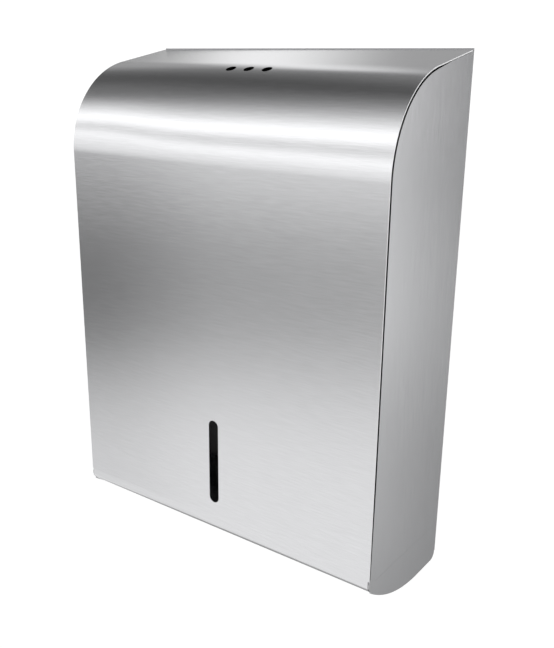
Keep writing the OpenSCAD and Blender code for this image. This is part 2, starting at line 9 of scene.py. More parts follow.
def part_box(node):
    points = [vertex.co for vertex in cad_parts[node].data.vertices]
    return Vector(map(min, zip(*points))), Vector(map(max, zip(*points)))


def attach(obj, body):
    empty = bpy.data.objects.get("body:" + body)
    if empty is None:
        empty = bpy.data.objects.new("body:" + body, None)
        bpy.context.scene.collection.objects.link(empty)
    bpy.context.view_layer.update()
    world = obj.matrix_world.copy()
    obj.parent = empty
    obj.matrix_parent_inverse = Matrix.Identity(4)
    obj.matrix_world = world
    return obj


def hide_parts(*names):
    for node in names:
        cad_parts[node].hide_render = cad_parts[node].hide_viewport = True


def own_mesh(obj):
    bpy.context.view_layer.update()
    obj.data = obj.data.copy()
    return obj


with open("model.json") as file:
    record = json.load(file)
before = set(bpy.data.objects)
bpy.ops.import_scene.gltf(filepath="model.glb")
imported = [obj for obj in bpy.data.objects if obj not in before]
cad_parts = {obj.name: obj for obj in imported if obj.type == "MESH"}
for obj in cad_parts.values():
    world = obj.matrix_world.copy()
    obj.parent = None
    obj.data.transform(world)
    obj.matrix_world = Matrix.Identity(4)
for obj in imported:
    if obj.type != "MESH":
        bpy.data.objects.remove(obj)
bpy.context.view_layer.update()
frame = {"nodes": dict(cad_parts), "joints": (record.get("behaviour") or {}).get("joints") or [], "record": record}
scene = bpy.context.scene
mm = 0.001

record = frame["record"]
bodyOf = {name: body for body, names in record["behaviour"]["bodies"].items() for name in names}
slotOf = {part["node"]: part["material_slot"] for part in record["subparts"]}
coverHinge = next(joint for joint in frame["joints"] if joint["name"] == "cover_hinge")
hingeY, hingeZ = coverHinge["pos_m"][1:]

# Front cover: its outline follows the frame's box and the hinge line that its lower edge rolls round
coverLow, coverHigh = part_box("front_cover")
topSlope = math.radians(11.5)
bendRadius = 67 * mm
bendY = coverLow.y + bendRadius
slopeLength = (coverHigh.y - bendY + bendRadius * math.sin(topSlope)) / math.cos(topSlope)
bendZ = coverHigh.z - bendRadius * math.cos(topSlope) - slopeLength * math.sin(topSlope)
coverSettings = {
    "Width": coverHigh.x - coverLow.x,
    "Roll width": 268 * mm,
    "Thickness": 0.8 * mm,
    "Edge radius": 0.12 * mm,
    "Slope length": slopeLength,
    "Slope angle": math.pi / 2 + topSlope,
    "Bend radius": bendRadius,
    "Bend y": bendY,
    "Bend z": bendZ,
    "Front length": bendZ - hingeZ,
    "Roll radius": hingeY - coverLow.y,
    "Roll sweep": math.pi - math.radians(coverHinge["range_deg"][1]),
    "Corner rise": 3.5 * mm,
    "Slot width": 8.7 * mm,
    "Slot length": 66.8 * mm,
    "Slot height": 217.5 * mm,
    "Key hole": 7.4 * mm,
    "Key pitch": 15.5 * mm,
    "Key angle": math.radians(112.5),
    "Steps": 640,
}


# A socket of a node tree, with maths written as expressions
class Wire:
    def __init__(self, tree, socket=None):
        self.tree = tree
        self.socket = socket

    # Adds any node: settings are set first, then values or links go to its sockets
    def node(self, kind, settings=None, sockets=None, out=0):
        made = self.tree.nodes.new(kind)
        for name, value in (settings or {}).items():
            if name == "stops":
                ramp = made.color_ramp.elements
                while len(ramp) < len(value):
                    ramp.new(0.5)
                for stop, (place, colour) in zip(ramp, value):
                    stop.position = place
                    stop.color = colour
            else:
                setattr(made, name, value)
        for key, value in (sockets or {}).items():
            for given in value if isinstance(value, list) else [value]:
                if isinstance(given, Wire):
                    self.tree.links.new(given.socket, made.inputs[key])
                else:
                    made.inputs[key].default_value = given
        if out is None:
            return [Wire(self.tree, socket) for socket in made.outputs]
        return Wire(self.tree, made.outputs[out]) if len(made.outputs) else None

    def maths(self, operation, first, second=None, third=None):
        given = {0: first, 1: second, 2: third}
        sockets = {key: value for key, value in given.items() if value is not None}
        return self.node("ShaderNodeMath", {"operation": operation}, sockets)

    def __add__(self, other):
        return self.maths("ADD", self, other)

    def __radd__(self, other):
        return self.maths("ADD", other, self)

    def __sub__(self, other):
        return self.maths("SUBTRACT", self, other)

    def __rsub__(self, other):
        return self.maths("SUBTRACT", other, self)

    def __mul__(self, other):
        return self.maths("MULTIPLY", self, other)

    def __rmul__(self, other):
        return self.maths("MULTIPLY", other, self)

    def __truediv__(self, other):
        return self.maths("DIVIDE", self, other)

    def __neg__(self):
        return self.maths("MULTIPLY", self, -1.0)


def softStep(value, low, high):
    return value.node("ShaderNodeMapRange", {"interpolation_type": "SMOOTHSTEP"},
                      {"Value": value, "From Min": low, "From Max": high})


def blendColours(fac, first, second):
    settings = {"data_type": "RGBA"}
    return fac.node("ShaderNodeMix", settings, {0: fac, 6: first, 7: second}, out=2)


# Finishes
def newMaterial(name):
    made = bpy.data.materials.new(name)
    made.use_nodes = True
    made.node_tree.nodes.clear()
    return made, Wire(made.node_tree)


def finishMaterial(pen, sockets):
    shader = pen.node("ShaderNodeBsdfPrincipled", {}, sockets)
    pen.node("ShaderNodeOutputMaterial", {}, {"Surface": shader})


def objectPlace(pen, scale):
    place = pen.node("ShaderNodeTexCoord", out=3)
    return pen.node("ShaderNodeMapping", {"vector_type": "POINT"}, {"Vector": place, "Scale": tuple(scale)})


def noise(pen, scale, detail=2.0, rough=0.5):
    sockets = {"Vector": objectPlace(pen, scale), "Scale": 1.0, "Detail": detail, "Roughness": rough}
    return pen.node("ShaderNodeTexNoise", {"noise_dimensions": "3D"}, sockets)


# Cut edges of the cover: its sides are sheared and rough; the walls of the key holes get painted shade, near
# black, standing in for the shade inside the case
cutSettings = {
    "side": (-0.06 * mm, -0.03 * mm),
    "holeShadeEdge": (0.01 * mm, 0.04 * mm),
    "holeRow": (1.4, 1.45),
    "shear": (0.86, 0.86, 0.87, 1),
    # painted shade: near black on the key holes' walls, for the shade inside the case
    "dark": (0.006, 0.006, 0.006, 1),
    "rougher": 0.4,
}


# Masks of the sheared sides and of the key holes' walls, which stand square to the bend; the walls' mask places
# painted shade
def cutEdgesAndHoleShade(pen, size):
    place = pen.node("ShaderNodeTexCoord", out=3)
    across, back, up = pen.node("ShaderNodeSeparateXYZ", {}, {0: place}, out=None)
    fromMiddle = pen.maths("ABSOLUTE", across)
    side = softStep(fromMiddle, *[size["Width"] * 0.5 + off for off in cutSettings["side"]])
    lean = size["Key angle"] - math.pi / 2
    along = (back - size["Bend y"]) * math.cos(lean) + (up - size["Bend z"]) * math.sin(lean)
    aside = pen.maths("WRAP", across, size["Key pitch"] * 0.5, size["Key pitch"] * -0.5)
    fromHole = pen.maths("SQRT", along * along + aside * aside)
    outside = softStep(fromHole, *[size["Key hole"] * 0.5 + off for off in cutSettings["holeShadeEdge"]])
    nearMiddle = 1.0 - softStep(fromMiddle, *[size["Key pitch"] * share for share in cutSettings["holeRow"]])
    onBend = softStep(up, size["Bend z"], size["Bend z"] + 1 * mm)
    return side, nearMiddle * (1.0 - outside) * onBend


# Brushed grain: marks per metre across and along it, and how much each layer counts
grainSettings = {
    "streaks": (1700.0, 70.0),
    "bands": (420.0, 6.0),
    "cloud": 9.0,
    "shares": (0.75, 0.1, 0.15),
    "contrast": (0.25, 0.75),
    "roughSpread": 0.12,
    "bump": 0.25,
    "depth": 0.03 * mm,
}


# grain is the direction that the sheet was brushed in, 0 for X and 2 for Z; cut holds a cut sheet's sizes
def brushedSteel(name, grain, light, dark, rough, cut=None):
    made, pen = newMaterial(name)
    level = grainSettings

    def layer(key, detail, spread):
        across, along = level[key]
        scale = [across, across, across]
        scale[grain] = along
        return noise(pen, scale, detail, spread)

    streaks = layer("streaks", 3.0, 0.6)
    bands = layer("bands", 2.0, 0.55)
    cloud = noise(pen, [level["cloud"]] * 3)
    streakShare, bandShare, cloudShare = level["shares"]
    mix = streaks * streakShare + bands * bandShare + cloud * cloudShare
    colour = blendColours(softStep(mix, *level["contrast"]), dark, light)
    roughness = rough + (mix - 0.5) * level["roughSpread"]
    if cut:
        side, hole = cutEdgesAndHoleShade(pen, cut)
        colour = blendColours(side, colour, cutSettings["shear"])
        # Painted shade: the key holes' walls turn near black, as the shade inside the case would show them
        colour = blendColours(hole, colour, cutSettings["dark"])
        roughness = roughness + (side + hole) * cutSettings["rougher"]
    sockets = {"Strength": level["bump"], "Distance": level["depth"], "Height": streaks}
    bump = pen.node("ShaderNodeBump", {}, sockets)
    finishMaterial(pen, {"Base Color": colour, "Metallic": 1.0, "Roughness": roughness, "Normal": bump})
    return made


# Zinc plating: soft spangles with a fine grit
platingSettings = {
    "spangles": 160.0,
    "grit": 1500.0,
    "shares": (0.7, 0.3),
    "contrast": (0.35, 0.65),
    "roughSpread": 0.2,
    "bump": 0.2,
    "depth": 0.05 * mm,
}


def platedSteel(name, light, dark, rough):
    made, pen = newMaterial(name)
    level = platingSettings
    spangles = noise(pen, [level["spangles"]] * 3)
    grit = noise(pen, [level["grit"]] * 3)
    mix = spangles * level["shares"][0] + grit * level["shares"][1]
    colour = blendColours(softStep(mix, *level["contrast"]), dark, light)
    sockets = {"Strength": level["bump"], "Distance": level["depth"], "Height": grit}
    bump = pen.node("ShaderNodeBump", {}, sockets)
    roughness = rough + (spangles - 0.5) * level["roughSpread"]
    finishMaterial(pen, {"Base Color": colour, "Metallic": 1.0, "Roughness": roughness, "Normal": bump})
    return made


# Fine grit of the nylon bushes and of the black coat
gritSettings = {
    "nylon": {"grit": 900.0, "detail": 3.0, "spread": 0.6, "roughSpread": 0.2, "bump": 0.25},
    "coat": {"grit": 1100.0, "detail": 2.0, "spread": 0.5, "roughSpread": 0.15, "bump": 0.2},
    "contrast": (0.3, 0.7),
    "depth": 0.04 * mm,
}


def grittyFinish(name, kind, light, dark, rough, gloss):
    made, pen = newMaterial(name)
    level = gritSettings[kind]
    grit = noise(pen, [level["grit"]] * 3, level["detail"], level["spread"])
    colour = blendColours(softStep(grit, *gritSettings["contrast"]), dark, light)
    sockets = {"Strength": level["bump"], "Distance": gritSettings["depth"], "Height": grit}
    bump = pen.node("ShaderNodeBump", {}, sockets)
    roughness = rough + (grit - 0.5) * level["roughSpread"]
    sockets = {"Base Color": colour, "Roughness": roughness, "Normal": bump, "Specular IOR Level": gloss}
    finishMaterial(pen, sockets)
    return made


finishes = {
    "cover_steel": brushedSteel("coverSteel", 0, (0.735, 0.737, 0.75, 1), (0.665, 0.667, 0.678, 1), 0.21,
                                coverSettings),
    "case_steel": brushedSteel("caseSteel", 2, (0.705, 0.707, 0.72, 1), (0.63, 0.632, 0.643, 1), 0.22),
    "plated_steel": platedSteel("platedSteel", (0.66, 0.67, 0.69, 1), (0.56, 0.57, 0.59, 1), 0.32),
    "spring_steel": platedSteel("springSteel", (0.42, 0.42, 0.43, 1), (0.33, 0.33, 0.34, 1), 0.28),
    # Painted shade: the black coat stands in for the shade inside the case that the key holes show
    "black_steel": grittyFinish("blackSteelPaintedShade", "coat", (0.014, 0.014, 0.015, 1), (0.010, 0.010, 0.011, 1),
                                0.7, 0.15),
    "nylon": grittyFinish("nylonBush", "nylon", (0.86, 0.86, 0.83, 1), (0.80, 0.80, 0.76, 1), 0.42, 0.5),
}
# Painted shade: the side panels, the back plate and the top rail get darker copies of the brushed case steel, and
# the latch keeper the black coat, in place of the shade that falls on them
sideShadedFinish = brushedSteel("sideSteelPaintedShade", 2, (0.45, 0.452, 0.462, 1), (0.405, 0.407, 0.416, 1), 0.22)
backShadedFinish = brushedSteel("backSteelPaintedShade", 2, (0.42, 0.42, 0.43, 1), (0.36, 0.36, 0.37, 1), 0.5)
railShadedFinish = brushedSteel("railSteelPaintedShade", 0, (0.10, 0.10, 0.105, 1), (0.07, 0.07, 0.075, 1), 0.5)
paintedShadeFinish = {
    "left_side_panel": sideShadedFinish,
    "right_side_panel": sideShadedFinish,
    "back_plate": backShadedFinish,
    "top_rail": railShadedFinish,
    "latch_keeper": finishes["black_steel"],
}
print("finishes ready")

for part in record["subparts"]:
    node = frame["nodes"][part["node"]]
    node.data.materials.clear()
    node.data.materials.append(finishes[part["material_slot"]])
print("frame dressed")


def standFor(piece, node):
    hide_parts(node)
    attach(piece, bodyOf[node])


# Geometry trees: a pen to draw nodes with, a wire for each named input, and the inputs' identifiers
def newTree(name, inputs):
    tree = bpy.data.node_groups.new(name, "GeometryNodeTree")
    tree.interface.new_socket("Geometry", in_out="OUTPUT", socket_type="NodeSocketGeometry")
    identifiers = {}
    for label, value in inputs.items():
        kind = "NodeSocketInt" if isinstance(value, int) else "NodeSocketFloat"
        identifiers[label] = tree.interface.new_socket(label, in_out="INPUT", socket_type=kind).identifier
    entry = tree.nodes.new("NodeGroupInput")
    wires = {label: Wire(tree, entry.outputs[label]) for label in inputs}
    return Wire(tree), wires, identifiers


# Ends a tree, grows it on a new object and keeps the result as a plain mesh
def growPiece(name, pen, shape, inputs, identifiers, finish, sharpAngle=0.5):
    angle = pen.node("GeometryNodeInputMeshEdgeAngle")
    sharp = pen.node("FunctionNodeCompare", {"data_type": "FLOAT", "operation": "GREATER_THAN"},
                     {0: angle, 1: sharpAngle})
    shape = pen.node("GeometryNodeRealizeInstances", {}, {"Geometry": shape})
    shape = pen.node("GeometryNodeSetShadeSmooth", {"domain": "FACE"},
                     {"Geometry": shape, "Shade Smooth": True})
    shape = pen.node("GeometryNodeSetShadeSmooth", {"domain": "EDGE"},
                     {"Geometry": shape, "Selection": sharp, "Shade Smooth": False})
    shape = pen.node("GeometryNodeSetMaterial", {}, {"Geometry": shape, "Material": finish})
    pen.node("NodeGroupOutput", {}, {"Geometry": shape})
    piece = bpy.data.objects.new(name, bpy.data.meshes.new(name + "Start"))
    scene.collection.objects.link(piece)
    modifier = piece.modifiers.new("grow", "NODES")
    modifier.node_group = pen.tree
    for label, value in inputs.items():
        modifier[identifiers[label]] = value
    grown = piece.evaluated_get(bpy.context.evaluated_depsgraph_get())
    plain = bpy.data.meshes.new_from_object(grown)
    piece.modifiers.remove(modifier)
    piece.data = plain
    plain.name = name
    print(name, len(plain.polygons), "faces")
    return piece


# The cover is one sheet, cut while flat and then bent over the top, down the front and under
def makeCover():
    pen, size, identifiers = newTree("coverTree", coverSettings)

    def combine(x, y, z):
        return pen.node("ShaderNodeCombineXYZ", {}, {0: x, 1: y, 2: z})

    def clamp(value, low, high):
        return pen.node("ShaderNodeClamp", {}, {"Value": value, "Min": low, "Max": high})

    def sine(value):
        return pen.maths("SINE", value)

    def cosine(value):
        return pen.maths("COSINE", value)

    bendLength = size["Bend radius"] * (math.pi - size["Slope angle"])
    rollLength = size["Roll radius"] * size["Roll sweep"]
    frontStart = size["Slope length"] + bendLength
    rollStart = frontStart + size["Front length"]
    wholeLength = rollStart + rollLength

    # Flat sheet, with its edges eased
    path = pen.node("GeometryNodeCurvePrimitiveLine", {},
                    {"Start": (0, 0, 0), "End": combine(0.0, wholeLength, 0.0)})
    path = pen.node("GeometryNodeResampleCurve", {}, {"Curve": path, "Count": size["Steps"]})
    section = pen.node("GeometryNodeCurvePrimitiveQuadrilateral", {},
                       {"Width": size["Width"], "Height": size["Thickness"]})
    section = pen.node("GeometryNodeFilletCurve", {"mode": "POLY"},
                       {"Curve": section, "Radius": size["Edge radius"], "Count": 4, "Limit Radius": True})
    sheet = pen.node("GeometryNodeCurveToMesh", {},
                     {"Curve": path, "Profile Curve": section, "Fill Caps": True})

    # Cutters: the view slot, the key holes and the corners beside the roll
    deep = 6 * mm
    through = pen.node("GeometryNodeCurvePrimitiveLine", {}, {"Start": (0, 0, -deep), "End": (0, 0, deep)})
    slot = pen.node("GeometryNodeCurvePrimitiveQuadrilateral", {},
                    {"Width": size["Slot width"], "Height": size["Slot length"]})
    slot = pen.node("GeometryNodeFilletCurve", {"mode": "POLY"},
                    {"Curve": slot, "Radius": size["Slot width"] * 0.4999, "Count": 14, "Limit Radius": True})
    slot = pen.node("GeometryNodeCurveToMesh", {},
                    {"Curve": through, "Profile Curve": slot, "Fill Caps": True})
    slot = pen.node("GeometryNodeTransform", {},
                    {"Geometry": slot, "Translation": combine(0.0, frontStart + size["Slot height"], 0.0)})
    hole = pen.node("GeometryNodeMeshCylinder", {"fill_type": "NGON"},
                    {"Vertices": 48, "Radius": size["Key hole"] * 0.5, "Depth": 2 * deep})
    holeAlong = size["Slope length"] + size["Bend radius"] * (size["Key angle"] - size["Slope angle"])
    holeRow = pen.node("GeometryNodeMeshLine", {"mode": "OFFSET"},
                       {"Count": 3, "Start Location": combine(-size["Key pitch"], holeAlong, 0.0),
                        "Offset": combine(size["Key pitch"], 0.0, 0.0)})
    holes = pen.node("GeometryNodeInstanceOnPoints", {}, {"Points": holeRow, "Instance": hole})
    holes = pen.node("GeometryNodeRealizeInstances", {}, {"Geometry": holes})
    corner = pen.node("GeometryNodeMeshCube", {}, {"Size": combine(
        size["Width"] - size["Roll width"], (rollLength + size["Corner rise"]) * 2.0, 2 * deep)})
    cornerRow = pen.node("GeometryNodeMeshLine", {"mode": "END_POINTS"},
                         {"Count": 2, "Start Location": combine(size["Width"] * -0.5, wholeLength, 0.0),
                          "Offset": combine(size["Width"] * 0.5, wholeLength, 0.0)})
    corners = pen.node("GeometryNodeInstanceOnPoints", {}, {"Points": cornerRow, "Instance": corner})
    corners = pen.node("GeometryNodeRealizeInstances", {}, {"Geometry": corners})
    sheet = pen.node("GeometryNodeMeshBoolean", {"operation": "DIFFERENCE", "solver": "EXACT"},
                     {"Mesh 1": sheet, "Mesh 2": [slot, holes, corners]})

    # Bending: along is the way over the sheet from its rear edge, rise the height over its outer face
    place = pen.node("GeometryNodeInputPosition")
    across, along, height = pen.node("ShaderNodeSeparateXYZ", {}, {0: place}, out=None)
    rise = height - size["Thickness"] * 0.5
    onSlope = clamp(along, 0.0, size["Slope length"]) - size["Slope length"]
    onBend = clamp(along - size["Slope length"], 0.0, bendLength)
    onFront = clamp(along - frontStart, 0.0, size["Front length"])
    onRoll = clamp(along - rollStart, 0.0, rollLength)
    turn = size["Slope angle"] + onBend / size["Bend radius"]
    curl = onRoll / size["Roll radius"]
    straight = onSlope + onFront
    outer = size["Bend radius"] + rise
    rollOuter = size["Roll radius"] + rise
    y = size["Bend y"] + outer * cosine(turn) - straight * sine(turn) + rollOuter * (1.0 - cosine(curl))
    z = size["Bend z"] + outer * sine(turn) + straight * cosine(turn) - rollOuter * sine(curl)
    sheet = pen.node("GeometryNodeSetPosition", {}, {"Geometry": sheet, "Position": combine(across, y, z)})
    sheet = pen.node("GeometryNodeFlipFaces", {}, {"Mesh": sheet})
    return growPiece("coverSheet", pen, sheet, coverSettings, identifiers, finishes["cover_steel"])


cover = makeCover()
standFor(cover, "front_cover")
print("cover ready")

# How triangles are joined to faces, and from which angle on an edge is sharp
easeSettings = {
    "join": 0.002 * mm,
    "flat": math.radians(0.4),
    "sharp": math.radians(30),
    "segments": 2,
}

# Other sheet and turned pieces keep the frame's shapes and get eased edges; widths in millimetres
easedEdges = {
    "left_side_panel": 0.2,
    "right_side_panel": 0.2,
    "back_plate": 0.2,
    "dispensing_tray": 0.2,
    "top_rail": 0.2,
    "left_hinge_ear": 0.25,
    "right_hinge_ear": 0.25,
    "left_cover_stiffener": 0.2,
    "right_cover_stiffener": 0.2,
    "latch_keeper": 0.3,
    "latch_bracket": 0.3,
    "latch_lever": 0.3,
    "latch_pin": 0.25,
    "left_hinge_stud": 0.25,
    "right_hinge_stud": 0.25,
    "left_hinge_bush": 0.15,
    "right_hinge_bush": 0.15,
}


# Toe that a side panel puts beside the cover's roll; angles go from straight ahead down round the hinge line
toeSettings = {
    "hinge": (hingeY, hingeZ),
    "radius": 7.8 * mm,
    "first": -42,
    "swept": 47,
    "last": 79,
    "curve": (-30 * mm, -69.5 * mm),
    "curveRadius": 118 * mm,
    "inner": 134.2 * mm,
    "outer": 135 * mm,
}


def makeToe():
    level = toeSettings
    hinge = Vector(level["hinge"])
    curve = Vector(level["curve"])
    outline = [hinge.copy()]
    for angle in range(level["first"], level["last"] + 1):
        way = Vector((-math.cos(math.radians(angle)), -math.sin(math.radians(angle))))
        reach = level["radius"]
        if angle > level["swept"]:
            offset = hinge - curve
            half = offset.dot(way)
            reach = math.sqrt(half * half - offset.dot(offset) + level["curveRadius"] ** 2) - half
        outline.append(hinge + way * reach)
    ends = [-level["inner"], -level["outer"]]
    count = len(outline)
    points = [(x, point[0], point[1]) for x in ends for point in outline]
    faces = [list(range(count)), list(range(2 * count - 1, count - 1, -1))]
    for i in range(count):
        j = (i + 1) % count
        faces.append([j, i, count + i, count + j])
    mesh = bpy.data.meshes.new("toe")
    mesh.from_pydata(points, [], faces)
    work = bmesh.new()
    work.from_mesh(mesh)
    bmesh.ops.recalc_face_normals(work, faces=work.faces)
    work.to_mesh(mesh)
    work.free()
    return mesh


def joinedFaces(mesh, name):
    work = bmesh.new()
    work.from_mesh(mesh)
    bmesh.ops.remove_doubles(work, verts=work.verts, dist=easeSettings["join"])
    bmesh.ops.dissolve_limit(work, angle_limit=easeSettings["flat"], verts=work.verts, edges=work.edges)
    plain = bpy.data.meshes.new(name)
    work.to_mesh(plain)
    work.free()
    return plain


def unitedWith(mesh, other, name):
    base = bpy.data.objects.new(name, mesh)
    added = bpy.data.objects.new(name + "Added", other)
    scene.collection.objects.link(base)
    scene.collection.objects.link(added)
    union = base.modifiers.new("union", "BOOLEAN")
    union.operation = "UNION"
    union.solver = "EXACT"
    union.object = added
    grown = base.evaluated_get(bpy.context.evaluated_depsgraph_get())
    plain = bpy.data.meshes.new_from_object(grown)
    bpy.data.objects.remove(base)
    bpy.data.objects.remove(added)
    return plain


# A copy of a frame node with its triangles joined to whole faces and its edges eased; panels get their toes
def easePiece(node, width):
    if node in ("left_side_panel", "right_side_panel"):
        plain = joinedFaces(frame["nodes"]["left_side_panel"].data, node + "Start")
        plain = joinedFaces(unitedWith(plain, makeToe(), node + "Toe"), node + "Plain")
        if node == "right_side_panel":
            plain.transform(Matrix.Scale(-1, 4, (1, 0, 0)))
            plain.flip_normals()
    else:
        plain = joinedFaces(frame["nodes"][node].data, node + "Plain")
    plain.shade_smooth()
    plain.set_sharp_from_angle(angle=easeSettings["sharp"])
    made = bpy.data.objects.new(node + "Eased", plain)
    scene.collection.objects.link(made)
    bevel = made.modifiers.new("easedEdges", "BEVEL")
    bevel.width = width * mm
    bevel.segments = easeSettings["segments"]
    bevel.limit_method = "ANGLE"
    bevel.angle_limit = easeSettings["sharp"]
    bevel.harden_normals = True
    grown = made.evaluated_get(bpy.context.evaluated_depsgraph_get())
    eased = bpy.data.meshes.new_from_object(grown)
    eased.name = node + "Eased"
    made.modifiers.remove(bevel)
    made.data = eased
    eased.materials.clear()
    # Pieces with a painted-shade finish get it in place of their slot's finish
    eased.materials.append(paintedShadeFinish.get(node, finishes[slotOf[node]]))
    standFor(made, node)
    return made


for node, width in easedEdges.items():
    easePiece(node, width)
print("sheet pieces ready")

# Latch spring: a round wire wound between the bracket and the lever
springSettings = {
    "Coil radius": 4 * mm,
    "Wire radius": 0.45 * mm,
    "Turns": 6,
    "Low": 150.3386 * mm,
    "High": 164.63 * mm,
    "Place": -30.5 * mm,
    "Steps": 48,
}


def makeSpring():
    pen, size, identifiers = newTree("springTree", springSettings)
    coil = pen.node("GeometryNodeCurveSpiral", {}, {
        "Resolution": size["Steps"], "Rotations": size["Turns"], "Start Radius": size["Coil radius"],
        "End Radius": size["Coil radius"], "Height": size["High"] - size["Low"], "Reverse": False})
    wire = pen.node("GeometryNodeCurvePrimitiveCircle", {"mode": "RADIUS"},
                    {"Resolution": 14, "Radius": size["Wire radius"]})
    coil = pen.node("GeometryNodeCurveToMesh", {}, {"Curve": coil, "Profile Curve": wire, "Fill Caps": True})
    place = pen.node("ShaderNodeCombineXYZ", {}, {1: size["Place"], 2: size["Low"]})
    coil = pen.node("GeometryNodeTransform", {}, {"Geometry": coil, "Translation": place})
    return growPiece("springCoil", pen, coil, springSettings, identifiers, finishes["spring_steel"], 1.0)


spring = makeSpring()
standFor(spring, "latch_spring")
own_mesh(spring)
print("spring ready")

# Rivets that hold the latch bracket: a shank and a low domed head
rivetLow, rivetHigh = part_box("latch_rivets")
headRadius = 3 * mm
rivetSettings = {
    "Across": 2 * (rivetHigh.x - headRadius),
    "Place": (rivetLow.y + rivetHigh.y) / 2,
    "Low": rivetLow.z,
    "Shank radius": 1.6 * mm,
    "Shank length": 1.5 * mm,
    "Shank lap": 0.3 * mm,
    "Head radius": headRadius,
    "Head height": 1 * mm,
}


def makeRivets():
    pen, size, identifiers = newTree("rivetTree", rivetSettings)
    shank = pen.node("GeometryNodeMeshCylinder", {"fill_type": "NGON"},
                     {"Vertices": 40, "Radius": size["Shank radius"],
                      "Depth": size["Shank length"] + size["Shank lap"]})
    halfShank = pen.node("ShaderNodeCombineXYZ", {}, {2: (size["Shank length"] + size["Shank lap"]) * 0.5})
    shank = pen.node("GeometryNodeTransform", {}, {"Geometry": shank, "Translation": halfShank})
    ball = pen.node("GeometryNodeMeshUVSphere", {},
                    {"Segments": 40, "Rings": 24, "Radius": size["Head radius"]})
    place = pen.node("GeometryNodeInputPosition")
    x, y, z = pen.node("ShaderNodeSeparateXYZ", {}, {0: place}, out=None)
    low = pen.maths("MAXIMUM", z, 0.0) * (size["Head height"] / size["Head radius"])
    dome = pen.node("GeometryNodeSetPosition", {}, {
        "Geometry": ball,
        "Position": pen.node("ShaderNodeCombineXYZ", {}, {0: x, 1: y, 2: low + size["Shank length"]})})
    rivet = pen.node("GeometryNodeJoinGeometry", {}, {"Geometry": [shank, dome]})
    half = size["Across"] * 0.5
    row = pen.node("GeometryNodeMeshLine", {"mode": "END_POINTS"}, {
        "Count": 2,
        "Start Location": pen.node("ShaderNodeCombineXYZ", {}, {0: -half, 1: size["Place"], 2: size["Low"]}),
        "Offset": pen.node("ShaderNodeCombineXYZ", {}, {0: half, 1: size["Place"], 2: size["Low"]})})
    rivets = pen.node("GeometryNodeInstanceOnPoints", {}, {"Points": row, "Instance": rivet})
    return growPiece("bracketRivets", pen, rivets, rivetSettings, identifiers, finishes["plated_steel"])


rivets = makeRivets()
standFor(rivets, "latch_rivets")
print("rivets ready")

# Camera, from a fit to the photograph's edges
cameraSettings = {
    "place": (0.36066, -0.52584, 0.1760),
    "right": (0.80862, 0.58820, 0.01237),
    "up": (-0.18579, 0.23535, 0.95399),
    "forward": (-0.55822, 0.77371, -0.29959),
    "lens": 45.77,
}
cameraData = bpy.data.cameras.new("camera")
cameraData.lens = cameraSettings["lens"]
cameraData.sensor_width = 36.0
cameraData.clip_end = 100.0
camera = bpy.data.objects.new("camera", cameraData)
axes = [Vector(cameraSettings["right"]), Vector(cameraSettings["up"]), -Vector(cameraSettings["forward"])]
turn = Matrix(axes).transposed().to_4x4()
camera.matrix_world = Matrix.Translation(cameraSettings["place"]) @ turn
scene.collection.objects.link(camera)
scene.camera = camera

# Studio, with a pale floor far below whose glow holds painted light and shade; a pair of numbers is a soft edge
# from the first to the second
# Headings in degrees: dim and bright go right from straight behind, left goes left from straight ahead
headingSettings = {
    "dimStart": (3.0, 14.0),
    "dimEnd": (24.0, 29.5),
    "brightStart": (25.0, 31.0),
    "brightEnd": (55.0, 75.0),
    "left": (39.0, 57.0),
}


def headingOf(pen, right, back):
    return pen.maths("ARCTAN2", right, back) * (180 / math.pi)


def between(value, start, end):
    return softStep(value, *start) * (1.0 - softStep(value, *end))


# How far a heading lies in the dim part of the studio
def dimShare(heading):
    return between(heading, headingSettings["dimStart"], headingSettings["dimEnd"])


# How far a heading lies in the bright part to the right of it
def brightShare(heading):
    return between(heading, headingSettings["brightStart"], headingSettings["brightEnd"])


# How far a direction lies off to the left
def leftShare(pen, right, back):
    return softStep(headingOf(pen, -right, -back), *headingSettings["left"])


# Floor, whose glow is painted with pools of light and shade: ranges are distances from the middle of the floor in
# metres
floorSettings = {
    "low": -1.1,
    "half": 12,
    "paint": 0.5,
    "paintedGlow": 0.74,
    "headingFrom": (0.135, -0.06),
    "rightEdge": (0.0, 0.6),
    "nearRange": (1.6, 4.0),
    "nearDim": 0.43,
    "closeRange": (1.0, 1.75),
    "closeDim": 0.65,
    "dim": 0.8,
    "dimRange": (5.0, 10.0),
    "bright": 0.85,
    "aheadEdge": (-1.2, 0.2),
    "aheadRange": (2.1, 3.8),
    "aheadLevel": 0.11,
    "aheadPool": 0.88,
    "leftDim": 0.26,
    "paintedShadowAt": (-0.52, 0.08),
    "paintedShadowSize": (0.66, 0.5),
    "paintedShadowEdge": (0.55, 1.0),
    "paintedShadowDim": 0.9,
    "fadeRange": (5.5, 7.5),
}


